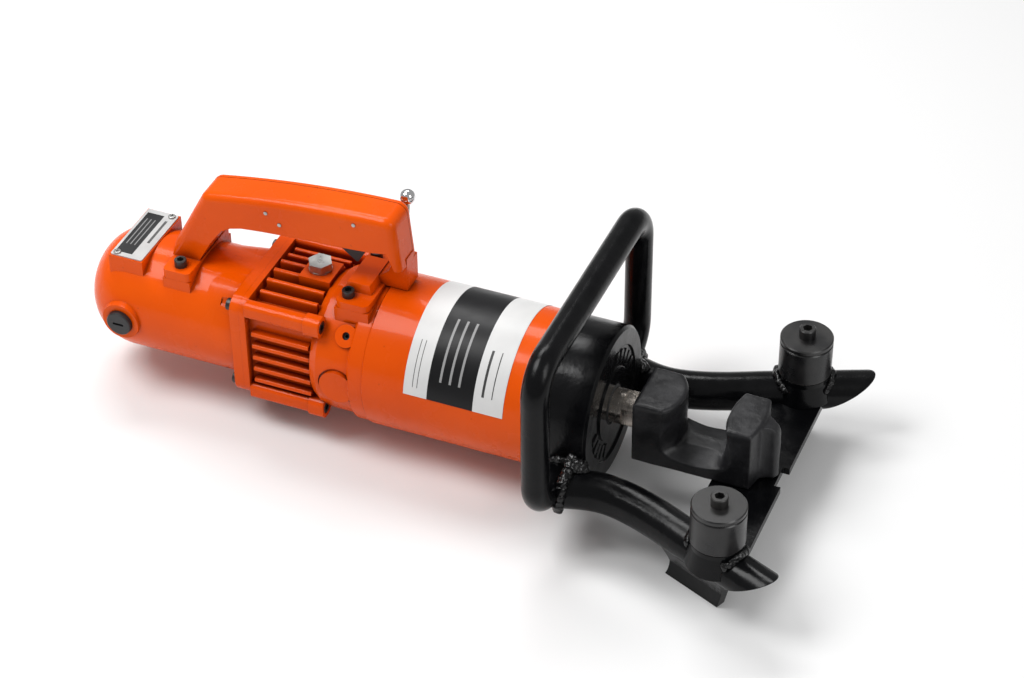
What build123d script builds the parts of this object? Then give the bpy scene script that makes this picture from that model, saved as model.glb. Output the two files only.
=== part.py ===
"""Portable electro-hydraulic rebar bender: motor, pump, ram, front frame and bending head.

Millimetres.  Stations are measured along the tool axis from the front face of the cap
(negative towards the motor), heights from the tool axis.  The row's origin is the middle
of the bounding box, on the floor.
"""
import os
from math import cos, pi, radians, sin, sqrt, tan

from build123d import *

os.makedirs("parts", exist_ok=True)

# ---- where the tool stands in the row's frame
cap_face = 131.56
axis_height = 70.0

# ---- cylinder, cap and ram
tube_rear = -181.0
tube_front = -47.0
tube_radius = 60.0
tube_bore = 46.0
spigot_radius = 54.0
spigot_front = -24.0
cap_radius = 60.5
rod_radius = 13.5
piston_rear = -168.0
piston_front = -150.0
running_fit = 0.05
gland_rear = -22.0
gland_front = -4.0

# ---- bending head
head_rear = 23.0
head_half = 24.0
head_floor = -28.0
head_top = 26.0
slot_floor = -13.0
slot_rear = 56.5
slot_front = 91.0
front_block = 116.0
front_block_top = 23.0
nose_front = 130.5
nose_top = 20.5
nose_round = 11.0
rib_half = 5.2
slot_side = 7.0

# ---- rollers, arms and feet
roller_station = 117.4
roller_offset = 101.5
roller_radius = 20.3
roller_bottom = -8.0
roller_top = 20.2
roller_gap = 0.3
roller_cap = 4.0
post_radius = 9.0
arm_radius = 15.0
arm_level = -28.5
arm_angle = 23.0
arm_tip = 54.5
arm_tip_slope = 1.5
foot_bottom = -axis_height

# ---- front handle
bail_station = -20.5
bail_radius = 10.6
bail_half = 106.0
bail_top = 102.5
bail_bottom = -24.5
bail_inner = 42.0
bail_bend = 24.0

# ---- motor
motor_radius = 48.0
motor_rear = -431.5
motor_dome = 40.0
motor_wall = 3.5
flange_rear = -294.0
flange_front = -286.0
flange_width = 100.0
flange_height = 91.0
flange_rise = 2.5
flange_corner = 12.0
bolt_places = [(y, z) for y in (-40.0, 40.0) for z in (-35.0, 37.0)]
brush_station = -391.0

# ---- pump case
case_plate_front = -281.0
fin_rear = -277.0
fin_front = -229.0
case_front = -228.0
boss_rear = -231.0
boss_front = -218.0
wall_width = 43.0
wall_height = 39.0
wall_thickness = 5.0
rail_places = [(y, z) for y in (-45.0, 45.0) for z in (-36.5, 41.5)]
fin_thickness = 4.0

# ---- rear handle
grip_near = -15.0
grip_seam = 10.5
seam_gap = 0.45
grip_far = 17.0
foot_top_rear = 50.0
foot_top_front = 62.0
handle_foot_rear = -346.5
handle_foot_front = -204.0
handle_screw_y = 25.5

# ---- pump drive
gear_module = 1.0
pinion_teeth = 10
gear_teeth = 26
gear_drop = gear_module * (pinion_teeth + gear_teeth) / 2
eccentric_throw = 2.0
plunger_station = -247.0

tool_axis = Axis((cap_face, 0, axis_height), (1, 0, 0))


def place(x, y, z):
    """A point given by station, offset and height, in the row's frame."""
    return (cap_face + x, y, axis_height + z)


def across(x, y=0.0, z=0.0):
    """Plane across the tool axis that faces forwards; its x is sideways, its y is up."""
    return Plane(origin=place(x, y, z), x_dir=(0, 1, 0), z_dir=(1, 0, 0))


def level(z, x=0.0, y=0.0):
    """Level plane; its x is the station and its y the offset."""
    return Plane(origin=place(x, y, z), x_dir=(1, 0, 0), z_dir=(0, 0, 1))


def side(y, x=0.0, z=0.0):
    """Upright plane along the tool; its x is the station and its y the height."""
    return Plane(origin=place(x, y, z), x_dir=(1, 0, 0), z_dir=(0, -1, 0))


def save(piece, name):
    piece.label = name
    export_step(piece, f"parts/{name}.step")


def turned(profile, axis=tool_axis):
    """Solid of revolution about the tool axis from (station, radius) points."""
    with BuildPart() as piece:
        with BuildSketch(side(0)):
            with BuildLine():
                Polyline(*profile, close=True)
            make_face()
        revolve(axis=axis)
    return piece.part


def disc(plane, radius, depth, hole=0.0, edge=0.0):
    """Disc or ring that grows from the plane along its normal."""
    with BuildPart() as piece:
        with BuildSketch(plane):
            Circle(radius)
            if hole:
                Circle(hole, mode=Mode.SUBTRACT)
        extrude(amount=depth)
        if edge:
            chamfer(piece.edges().filter_by(GeomType.CIRCLE).group_by(SortBy.RADIUS)[-1], edge)
    return piece.part


def block(x, y, z, edge=0.0):
    """Box between pairs of stations, offsets and heights."""
    with BuildPart() as piece:
        with BuildSketch(level(z[0], (x[0] + x[1]) / 2, (y[0] + y[1]) / 2)):
            Rectangle(x[1] - x[0], y[1] - y[0])
        extrude(amount=z[1] - z[0])
        if edge:
            chamfer(piece.edges(), edge)
    return piece.part


def socket_screw(size, length, plane):
    """Socket head screw whose head stands on the plane and whose shank goes below it."""
    with BuildPart() as screw:
        with BuildSketch(plane):
            Circle(0.8 * size)
        extrude(amount=size)
        chamfer(screw.edges().group_by(Axis(plane.origin, plane.z_dir))[-1], 0.08 * size)
        with BuildSketch(plane.offset(size)):
            RegularPolygon(0.48 * size, 6)
        extrude(amount=-0.55 * size, mode=Mode.SUBTRACT)
        with BuildSketch(plane):
            Circle(size / 2)
        extrude(amount=-length)
    return screw.part


def pan_screw(size, length, plane):
    """Cross-recess screw with a low domed head on the plane."""
    with BuildPart() as screw:
        with BuildSketch(plane):
            Circle(size)
        extrude(amount=0.5 * size)
        fillet(screw.edges().group_by(Axis(plane.origin, plane.z_dir))[-1], 0.3 * size)
        with BuildSketch(plane.offset(0.5 * size)):
            Rectangle(1.2 * size, 0.25 * size)
            Rectangle(0.25 * size, 1.2 * size)
        extrude(amount=-0.35 * size, mode=Mode.SUBTRACT)
        with BuildSketch(plane):
            Circle(size / 2)
        extrude(amount=-length)
    return screw.part


def toothed(plane, teeth, depth, hole, start_angle):
    """Spur gear of straight-flanked teeth, thinned for backlash."""
    pitch_radius = gear_module * teeth / 2
    root = pitch_radius - 1.25 * gear_module
    tip = pitch_radius + 0.9 * gear_module
    half_root = 0.95 * gear_module
    half_tip = 0.32 * gear_module
    with BuildPart() as gear:
        with BuildSketch(plane):
            Circle(root)
            with PolarLocations(0, teeth, start_angle=start_angle):
                Polygon((0.8 * root, -half_root), (0.8 * root, half_root), (root, half_root),
                        (tip, half_tip), (tip, -half_tip), (root, -half_root), align=None)
            if hole:
                Circle(hole, mode=Mode.SUBTRACT)
        extrude(amount=depth)
    return gear.part


def coil_spring(start, direction, radius, wire, length, turns):
    """Round-wire compression spring from a point along a direction."""
    pitch = (length - wire) / turns
    centre = Vector(*start) + Vector(*direction) * (wire / 2)
    with BuildPart() as spring:
        with BuildLine() as path:
            Helix(pitch, length - wire, radius, center=centre, direction=direction)
        with BuildSketch(Plane(path.line @ 0, z_dir=path.line % 0)):
            Circle(wire / 2)
        sweep(path=path.line, is_frenet=True)
    return spring.part


# =============================================================== motor
motor_inner = motor_radius - motor_wall
inner_dome = motor_dome - motor_wall
pad_y = 32.5
pad_x = (-406.0, -377.0)
pad_top = 48.5
plate_thickness = 1.0
plate_x = sum(pad_x) / 2
plate_screws = [(plate_x - 9.0, -28.0), (plate_x + 9.0, 28.0)]
rear_pad_x = (-358.0, -335.0)
foot_half_y = 35.0
foot_thickness = 8.0
front_foot_thickness = 6.0
rear_pad_top = foot_top_rear - foot_thickness
brush_seat = 50.5
brush_boss_radius = 15.5
brush_hole_radius = 8.0


def motor_form(radius, rear, front, dome):
    """Body of revolution with a domed rear end."""
    with BuildPart() as form:
        with BuildSketch(side(0)):
            with BuildLine():
                Line((front, 0), (rear, 0))
                Line((rear, 0), (rear, radius - dome))
                ThreePointArc((rear, radius - dome), (rear + 0.29 * dome, radius - 0.29 * dome),
                              (rear + dome, radius))
                Line((rear + dome, radius), (front, radius))
                Line((front, radius), (front, 0))
            make_face()
        revolve(axis=tool_axis)
    return form.part


with BuildPart() as motor_housing:
    add(motor_form(motor_radius, motor_rear, flange_front, motor_dome))
    with BuildSketch(across(-330.0)):
        Circle(motor_radius - 1.0)
    with BuildSketch(across(flange_rear, 0, flange_rise)):
        RectangleRounded(82.0, 88.0, 26.0)
    loft()
    with BuildSketch(across(flange_rear, 0, flange_rise)):
        RectangleRounded(flange_width, flange_height, flange_corner)
    extrude(amount=flange_front - flange_rear)
    for side_sign in (-1, 1):
        with BuildSketch(side(side_sign * brush_seat, brush_station)):
            Circle(brush_boss_radius)
        extrude(amount=side_sign * 16.0, taper=-8.0)
    add(block(pad_x, (-pad_y, pad_y), (20.0, pad_top)))
    for side_sign in (-1, 1):
        pad_centre = side_sign * (foot_half_y - 9.0)
        add(block(rear_pad_x, (pad_centre - 9.0, pad_centre + 9.0), (22.0, rear_pad_top)))
    # room for the windings, the fan and the bearing plate
    add(motor_form(motor_inner, motor_rear + motor_wall, flange_rear + 1.0, inner_dome), mode=Mode.SUBTRACT)
    add(disc(across(flange_rear + 1.0), 41.0, 9.0), mode=Mode.SUBTRACT)
    for side_sign in (-1, 1):
        with BuildSketch(side(side_sign * 60.0, brush_station)):
            Circle(brush_hole_radius)
        extrude(amount=side_sign * 30.0, mode=Mode.SUBTRACT)
        with BuildSketch(side(side_sign * brush_seat, brush_station)):
            Circle(10.4)
        extrude(amount=side_sign * 1.5, mode=Mode.SUBTRACT)
    for y, z in bolt_places:
        add(disc(across(flange_rear - 14.0, y, z), 6.4, 14.0), mode=Mode.SUBTRACT)
        add(disc(across(flange_rear, y, z), 3.1, 9.0), mode=Mode.SUBTRACT)
    for y in (-handle_screw_y, handle_screw_y):
        add(disc(level(30.0, handle_foot_rear, y), 3.0, 20.0), mode=Mode.SUBTRACT)
    for x, y in plate_screws:
        add(disc(level(36.0, x, y), 1.5, 14.0), mode=Mode.SUBTRACT)
    # seat of the rear bearing
    add(disc(across(motor_rear + motor_wall - 0.5), 15.0, 12.0, hole=11.0))
save(motor_housing.part, "motor_housing")

with BuildPart() as nameplate:
    with BuildSketch(level(pad_top, plate_x)):
        RectangleRounded(27.0, 62.5, 1.5)
    extrude(amount=plate_thickness)
    for x, y in plate_screws:
        add(disc(level(pad_top, x, y), 1.6, plate_thickness), mode=Mode.SUBTRACT)
save(nameplate.part, "nameplate")

with BuildPart() as brush_holders:
    for side_sign in (-1, 1):
        with BuildSketch(side(side_sign * 18.0, brush_station)):
            Circle(brush_hole_radius - 0.05)
            Rectangle(8.4, 6.4, mode=Mode.SUBTRACT)
        extrude(amount=-side_sign * (brush_seat - 2.0 - 18.0))
save(brush_holders.part, "brush_holders")

with BuildPart() as carbon_brushes:
    for side_sign in (-1, 1):
        with BuildSketch(side(side_sign * 14.4, brush_station)):
            Rectangle(8.0, 6.0)
        extrude(amount=-side_sign * 16.0)
save(carbon_brushes.part, "carbon_brushes")

with BuildPart() as brush_springs:
    for side_sign in (-1, 1):
        add(coil_spring(place(brush_station, side_sign * 30.6, 0), (0, side_sign, 0), 2.4, 0.6, 17.0, 6))
save(brush_springs.part, "brush_springs")

with BuildPart() as brush_caps:
    for side_sign in (-1, 1):
        cap_plane = Plane(origin=place(brush_station, side_sign * (brush_seat - 1.5), 0),
                          x_dir=(1, 0, 0), z_dir=(0, side_sign, 0))
        with BuildSketch(cap_plane):
            Circle(10.2)
        extrude(amount=5.5)
        chamfer(brush_caps.edges().group_by(Axis.Y)[0 if side_sign < 0 else -1], 0.8)
        with BuildSketch(cap_plane.offset(5.5)):
            Rectangle(9.0, 2.0)
        extrude(amount=-2.0, mode=Mode.SUBTRACT)
save(brush_caps.part, "brush_caps")

stator_front = -326.0
stator_rear = -372.0
with BuildPart() as stator_core:
    with BuildSketch(across(stator_rear)):
        Circle(motor_inner - 0.1)
        Circle(37.5, mode=Mode.SUBTRACT)
        with PolarLocations(0, 2):
            Polygon((22.0, -9.0), (22.0, 9.0), (38.5, 9.0), (38.5, -9.0), align=None)
        with PolarLocations(0, 2):
            Polygon((21.0, -20.0), (21.0, 20.0), (27.5, 20.0), (27.5, -20.0), align=None)
        Circle(22.6, mode=Mode.SUBTRACT)
    extrude(amount=stator_front - stator_rear)
save(stator_core.part, "stator_core")

with BuildPart() as field_windings:
    for side_sign in (-1, 1):
        with BuildSketch(across(stator_rear - 7.0)):
            with Locations((side_sign * 30.4, 0)):
                Rectangle(5.0, 34.0)
        extrude(amount=stator_front - stator_rear + 14.0)
    add(block((stator_rear - 0.3, stator_front + 0.3), (-60.0, 60.0), (-9.4, 9.4)), mode=Mode.SUBTRACT)
save(field_windings.part, "field_windings")

bearing_radius = 11.0
bearing_width = 7.0
rear_bearing_x = motor_rear + motor_wall + 3.5
front_bearing_x = flange_rear + 1.5
with BuildPart() as motor_bearings:
    for x in (rear_bearing_x, front_bearing_x):
        add(disc(across(x), bearing_radius, bearing_width, hole=4.0 + running_fit))
        add(disc(across(x), 8.9, 0.6, hole=6.3), mode=Mode.SUBTRACT)
        add(disc(across(x + bearing_width - 0.6), 8.9, 0.6, hole=6.3), mode=Mode.SUBTRACT)
save(motor_bearings.part, "motor_bearings")

with BuildPart() as bearing_plate:
    add(disc(across(flange_rear + 1.0), 40.8, 7.0, hole=bearing_radius + 0.02))
    add(disc(across(flange_front), 30.0, 3.5, hole=7.32))
    add(disc(across(flange_front), bearing_radius + 0.02, 0.5), mode=Mode.SUBTRACT)
save(bearing_plate.part, "bearing_plate")

save(disc(across(front_bearing_x + bearing_width), 7.3, 2.8, hole=4.0 + running_fit), "shaft_seal")

with BuildPart() as flange_screws:
    for y, z in bolt_places:
        screw_plane = Plane(origin=place(flange_rear, y, z), x_dir=(0, 0, 1), z_dir=(-1, 0, 0))
        add(socket_screw(6.0, 14.0, screw_plane))
save(flange_screws.part, "flange_screws")

# =============================================================== rotor
shaft_radius = 4.0
pinion_rear = flange_front + 4.0
with BuildPart() as armature_shaft:
    add(disc(across(rear_bearing_x + 0.2), shaft_radius, pinion_rear + 9.0 - rear_bearing_x))
    add(toothed(across(pinion_rear), pinion_teeth, 9.0, 0.0, 18.0))
save(armature_shaft.part, "armature_shaft")

with BuildPart() as armature_core:
    with BuildSketch(across(stator_rear + 1.0)):
        Circle(22.0)
        with PolarLocations(20.2, 12):
            SlotOverall(5.0, 1.8, mode=Mode.SUBTRACT)
        Circle(shaft_radius, mode=Mode.SUBTRACT)
    extrude(amount=stator_front - stator_rear - 2.0)
    add(disc(across(stator_front - 1.0), 18.5, 6.0, hole=shaft_radius, edge=2.0))
    add(disc(across(stator_rear - 5.0), 18.5, 6.0, hole=shaft_radius, edge=2.0))
save(armature_core.part, "armature_core")

with BuildPart() as commutator:
    with BuildSketch(across(brush_station - 8.0)):
        Circle(14.0)
        with PolarLocations(13.6, 24):
            Rectangle(1.4, 0.6, mode=Mode.SUBTRACT)
        Circle(shaft_radius, mode=Mode.SUBTRACT)
    extrude(amount=14.0)
save(commutator.part, "commutator")

with BuildPart() as cooling_fan:
    add(disc(across(-312.0), 11.0, 9.0, hole=shaft_radius))
    add(disc(across(-312.0), 36.0, 1.8, hole=10.0))
    with BuildSketch(across(-311.0)):
        with PolarLocations(22.5, 12):
            Rectangle(26.0, 1.6)
    extrude(amount=8.0)
save(cooling_fan.part, "cooling_fan")

# =============================================================== pump case
case_foot_top = foot_top_front - front_foot_thickness
case_pad_x = (-212.0, -184.0)
rear_body_radius = 56.0
lip_radius = 59.0
lip_rear = -195.0
cavity_front = -193.0
valve_x = -190.0
valve_y = 44.0
valve_seat = 52.0
plug_x = -242.0
plug_y = 5.0
plug_seat = 55.0
bleed_plane = Plane(origin=place(-199.0, -42.3, 36.8), x_dir=(1, 0, 0),
                    z_dir=(0, -cos(radians(41.0)), sin(radians(41.0))))
cover_plane = side(-57.5, -203.0, -3.0)
top_fins = [(-28.0, 48.5), (-16.0, 51.0), (-4.0, 52.0), (8.0, 51.5), (20.0, 49.0), (32.0, 46.0)]
flank_fins = [-25.0, -14.0, -3.0, 8.0, 19.5]


def fin(y, z):
    """Cooling fin between pairs of offsets and heights, rounded along its outer edges."""
    with BuildPart() as rib:
        add(block((fin_rear, fin_front), y, z))
        fillet(rib.edges().filter_by(Axis.X), 0.4 * fin_thickness)
    return rib.part


with BuildPart() as pump_case:
    with BuildSketch(across(flange_front, 0, flange_rise)):
        RectangleRounded(flange_width, flange_height, flange_corner)
    extrude(amount=case_plate_front - flange_front)
    add(block((case_plate_front, case_front), (-wall_width, wall_width), (-wall_height, wall_height)))
    with BuildSketch(across(case_plate_front)):
        with Locations(rail_places):
            RectangleRounded(11.0, 13.5, 4.0)
    extrude(amount=case_front - case_plate_front)
    with BuildSketch(across(boss_rear)):
        with Locations(rail_places):
            RectangleRounded(14.0, 16.5, 5.5)
    extrude(amount=boss_front - boss_rear)
    # cooling fins: upright on the top and bottom, level on both flanks
    for fin_y, fin_top in top_fins:
        add(fin((fin_y - fin_thickness / 2, fin_y + fin_thickness / 2), (-43.0, fin_top)))
    for fin_z in flank_fins:
        add(fin((-49.0, 49.0), (fin_z - fin_thickness / 2, fin_z + fin_thickness / 2)))
    add(turned([(case_front, 0), (case_front, 51.0), (case_front + 7.0, rear_body_radius),
                (lip_rear, rear_body_radius), (lip_rear + 3.0, lip_radius), (tube_rear, lip_radius),
                (tube_rear, 0)]))
    # boss of the fill plug
    add(block((plug_x - 12.0, case_front), (plug_y - 14.0, plug_y + 12.0), (wall_height - 2.0, plug_seat)))
    # pads of the rear handle's front foot
    for side_sign in (-1, 1):
        pad_centre = side_sign * (foot_half_y - 9.5)
        add(block(case_pad_x, (pad_centre - 9.5, pad_centre + 9.5), (36.0, case_foot_top)))
    # boss of the release valve on the far flank
    with BuildSketch(level(30.0, valve_x, valve_y)):
        Circle(8.0)
    extrude(amount=valve_seat - 30.0)
    # round boss with a tapped hole, and the round cover below it
    with BuildSketch(bleed_plane):
        Circle(9.0)
    extrude(amount=1.5)
    with BuildSketch(cover_plane):
        Circle(14.0)
    extrude(amount=-12.0)
    with BuildSketch(cover_plane):
        Circle(15.4)
        Circle(14.0, mode=Mode.SUBTRACT)
    extrude(amount=-3.2, mode=Mode.SUBTRACT)
    # oil space round the pump
    add(block((flange_front - 1.0, cavity_front), (-wall_width + wall_thickness, wall_width - wall_thickness),
              (-wall_height + wall_thickness, wall_height - wall_thickness)), mode=Mode.SUBTRACT)
    add(disc(across(tube_rear - 6.0), 48.0, 6.0), mode=Mode.SUBTRACT)
    add(disc(across(cavity_front - 1.0), 22.0, 12.0), mode=Mode.SUBTRACT)
    # holes: plug, bleed screw, release valve, handle screws, flange screws, body screws
    add(disc(level(wall_height - 8.0, plug_x, plug_y), 5.0, 30.0), mode=Mode.SUBTRACT)
    add(disc(bleed_plane.offset(2.0), 3.0, -12.0), mode=Mode.SUBTRACT)
    add(disc(level(30.0, valve_x, valve_y), 4.0, 30.0), mode=Mode.SUBTRACT)
    for y in (-handle_screw_y, handle_screw_y):
        add(disc(level(40.0, handle_foot_front, y), 3.0, 25.0), mode=Mode.SUBTRACT)
    for y, z in bolt_places:
        add(disc(across(flange_front, y, z), 3.0, 6.2), mode=Mode.SUBTRACT)
    for y, z in rail_places:
        add(disc(across(boss_front - 6.0, y, z), 5.1, 6.0), mode=Mode.SUBTRACT)
        add(disc(across(boss_front - 16.5, y, z), 3.0, 12.0), mode=Mode.SUBTRACT)
save(pump_case.part, "pump_case")

# =============================================================== pump
cam_radius = 11.0
gear_rear = pinion_rear + 0.5
eccentric_front = -219.0
with BuildPart() as eccentric_shaft:
    add(disc(across(gear_rear, 0, -gear_drop), shaft_radius, eccentric_front - gear_rear))
    add(disc(across(plunger_station - 6.0, 0, -gear_drop + eccentric_throw), cam_radius, 12.0))
save(eccentric_shaft.part, "eccentric_shaft")

save(toothed(across(gear_rear, 0, -gear_drop), gear_teeth, 7.5, shaft_radius, 0.0), "driven_gear")

block_x = (plunger_station - 14.0, cavity_front)
with BuildPart() as pump_block:
    add(block(block_x, (-37.5, 37.5), (-33.5, 12.0)))
    add(block((plunger_station - 8.0, plunger_station + 8.0), (-16.0, 16.0), (-34.0, 12.5)),
        mode=Mode.SUBTRACT)
    add(disc(across(block_x[0] - 1.0, 0, -gear_drop), shaft_radius + running_fit, 60.0), mode=Mode.SUBTRACT)
    with BuildSketch(side(-40.0, plunger_station, -gear_drop)):
        Circle(4.0)
    extrude(amount=-80.0, mode=Mode.SUBTRACT)
    add(disc(across(block_x[0] + 30.0, 22.0, 0), 3.0, 40.0), mode=Mode.SUBTRACT)
    add(disc(across(block_x[0] + 30.0, -22.0, 0), 3.0, 40.0), mode=Mode.SUBTRACT)
save(pump_block.part, "pump_block")

plunger_start = cam_radius + eccentric_throw + 0.4
with BuildPart() as plungers:
    for side_sign in (-1, 1):
        with BuildSketch(side(side_sign * plunger_start, plunger_station, -gear_drop)):
            Circle(3.97)
        extrude(amount=-side_sign * 15.0)
save(plungers.part, "plungers")

with BuildPart() as plunger_springs:
    for side_sign in (-1, 1):
        add(coil_spring(place(plunger_station, side_sign * (plunger_start + 15.1), -gear_drop),
                        (0, side_sign, 0), 2.8, 0.8, 8.5, 4))
save(plunger_springs.part, "plunger_springs")

with BuildPart() as fill_plug:
    with BuildSketch(level(plug_seat, plug_x, plug_y)):
        Circle(9.0)
    extrude(amount=1.2)
    with BuildSketch(level(plug_seat + 1.2, plug_x, plug_y)):
        RegularPolygon(8.5, 6, major_radius=False)
    extrude(amount=6.4)
    add(disc(level(plug_seat - 12.0, plug_x, plug_y), 4.95, 12.0))
save(fill_plug.part, "fill_plug")

with BuildPart() as bleed_screw:
    with BuildSketch(bleed_plane.offset(-1.0)):
        Circle(2.95)
        RegularPolygon(1.6, 6, mode=Mode.SUBTRACT)
    extrude(amount=-4.0)
    add(disc(bleed_plane.offset(-5.0), 2.95, -4.0))
save(bleed_screw.part, "bleed_screw")

with BuildPart() as body_screws:
    for y, z in rail_places:
        add(socket_screw(6.0, 10.0, across(boss_front - 6.0, y, z)))
save(body_screws.part, "body_screws")

with BuildPart() as rear_foot:
    add(block((-286.0, -252.0), (-20.0, 20.0), (foot_bottom, -48.0), edge=1.5))
save(rear_foot.part, "rear_foot")

# =============================================================== cylinder, cap and ram
save(turned([(tube_rear, 0), (tube_rear, tube_bore - 0.05), (tube_rear + 12.0, tube_bore - 0.05),
             (tube_rear + 12.0, 6.0), (tube_rear + 4.0, 6.0), (tube_rear + 4.0, 0)]), "cylinder_base")

save(turned([(tube_rear, tube_bore), (tube_rear, tube_radius - 1.0), (tube_rear + 1.0, tube_radius),
             (tube_front, tube_radius), (tube_front, spigot_radius), (spigot_front, spigot_radius),
             (spigot_front, tube_bore)]), "cylinder_tube")

label_x = (-146.0, -66.0)
label_angles = (10.5, 150.0)
with BuildPart() as cylinder_label:
    with BuildSketch(across(label_x[0])):
        with BuildLine():
            near = radians(180.0 - label_angles[0])
            far = radians(180.0 - label_angles[1])
            middle = (near + far) / 2
            for radius in (tube_radius, tube_radius + 0.3):
                ThreePointArc((radius * cos(near), radius * sin(near)),
                              (radius * cos(middle), radius * sin(middle)),
                              (radius * cos(far), radius * sin(far)))
            for angle in (near, far):
                Line((tube_radius * cos(angle), tube_radius * sin(angle)),
                     ((tube_radius + 0.3) * cos(angle), (tube_radius + 0.3) * sin(angle)))
        make_face()
    extrude(amount=label_x[1] - label_x[0])
save(cylinder_label.part, "cylinder_label")

ring_outer = 46.0
ring_inner = 29.0
ring_depth = 1.4
ring_marks = 5
mark_pitch = 14.0
with BuildPart() as front_cap:
    add(turned([(tube_front, spigot_radius + 0.05), (tube_front, cap_radius), (-2.0, cap_radius),
                (0, cap_radius - 2.0), (0, ring_outer), (-ring_depth, ring_outer), (-ring_depth, ring_inner),
                (0, ring_inner), (0, rod_radius + 2.5), (gland_front + 0.5, rod_radius + 2.5),
                (gland_front + 0.5, 20.0), (gland_rear, 20.0), (gland_rear, spigot_radius + 0.05)]))
    for group_angle in (49.0, 219.0):
        first_angle = group_angle - mark_pitch * (ring_marks - 1) / 2
        with BuildSketch(across(-ring_depth)):
            with PolarLocations((ring_outer + ring_inner) / 2, ring_marks, start_angle=first_angle,
                                angular_range=mark_pitch * ring_marks):
                RectangleRounded(11.0, 5.0, 1.6)
        extrude(amount=1.1)
save(front_cap.part, "front_cap")

save(turned([(gland_rear, rod_radius + running_fit), (gland_rear, 19.95), (gland_front, 19.95),
             (gland_front, rod_radius + running_fit)]), "gland_bush")

save(turned([(gland_front + 0.6, rod_radius + running_fit), (gland_front + 0.6, rod_radius + 2.4),
             (-0.6, rod_radius + 2.4), (0.6, rod_radius + 1.0), (0.6, rod_radius + running_fit)]),
     "rod_wiper")

with BuildPart() as piston_rod:
    add(turned([(piston_rear, 0), (piston_rear, 9.0), (piston_front, 9.0), (piston_front, rod_radius),
                (head_rear, rod_radius), (head_rear, 9.0), (head_rear + 15.0, 9.0), (head_rear + 15.0, 0)]))
    for side_sign in (-1, 1):
        flat = sorted((side_sign * 11.5, side_sign * 20.0))
        add(block((10.0, head_rear), (-20.0, 20.0), flat), mode=Mode.SUBTRACT)
        add(block((10.0, head_rear), flat, (-20.0, 20.0)), mode=Mode.SUBTRACT)
save(piston_rod.part, "piston_rod")

seal_groove = 3.0
with BuildPart() as piston:
    add(turned([(piston_rear, 9.0), (piston_rear, tube_bore - 0.1), (piston_front, tube_bore - 0.1),
                (piston_front, 9.0)]))
    for x in (piston_rear + 3.5, piston_front - 7.5):
        add(disc(across(x), tube_bore + 1.0, 4.0, hole=tube_bore - seal_groove), mode=Mode.SUBTRACT)
save(piston.part, "piston")

with BuildPart() as piston_seals:
    for x in (piston_rear + 3.5, piston_front - 7.5):
        add(disc(across(x), tube_bore - 0.05, 4.0, hole=tube_bore - seal_groove))
save(piston_seals.part, "piston_seals")

save(coil_spring(place(piston_front + 0.2, 0, 0), (1, 0, 0), 34.0, 3.5, gland_rear - piston_front - 0.5, 4.5),
     "return_spring")

# former: a rounded rear block, an open slot for the bar and a ribbed nose
slot_profile = [(56.5, 26.5), (56.5, 8.0), (56.8, -6.0), (59.5, -11.8), (64.0, -13.0), (84.0, -13.0),
                (88.5, -11.8), (91.0, -6.0), (91.0, 8.0), (91.0, 26.5)]
slot_mouth = [(55.5, 26.5), (49.0, 11.0), (44.5, -4.0), (47.0, -13.5), (54.0, -17.0), (88.0, -17.0),
              (96.0, -13.5), (100.0, -1.0), (98.5, 11.0), (94.5, 26.5)]


def slot_section(y, points):
    """Upright sketch of the slot's outline, open at the top."""
    with BuildSketch(side(y)) as section:
        with BuildLine():
            Spline(*points)
            Line(points[-1], points[0])
        make_face()
    return section.sketch


with BuildPart() as nose:
    with BuildSketch(level(head_floor)):
        with BuildLine():
            ThreePointArc((front_block - 1.0, -head_half + 0.5), (front_block + 2.0, -10.0),
                          (nose_front - 5.0, -rib_half))
            ThreePointArc((nose_front - 5.0, -rib_half), (nose_front, 0), (nose_front - 5.0, rib_half))
            ThreePointArc((nose_front - 5.0, rib_half), (front_block + 2.0, 10.0),
                          (front_block - 1.0, head_half - 0.5))
            Polyline((front_block - 1.0, head_half - 0.5), (front_block - 5.0, head_half - 0.5),
                     (front_block - 5.0, -head_half + 0.5), (front_block - 1.0, -head_half + 0.5))
        make_face()
    extrude(amount=nose_top - head_floor)
    with BuildSketch(side(head_half + 1.0)):
        with BuildLine():
            ThreePointArc((nose_front - nose_round, nose_top), (nose_front - 0.293 * nose_round,
                          nose_top - 0.293 * nose_round), (nose_front, nose_top - nose_round))
            Polyline((nose_front, nose_top - nose_round), (nose_front + 9.0, nose_top - nose_round),
                     (nose_front + 9.0, nose_top + 9.0), (nose_front - nose_round, nose_top + 9.0),
                     (nose_front - nose_round, nose_top))
        make_face()
    extrude(amount=2 * head_half + 2.0, mode=Mode.SUBTRACT)

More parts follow.
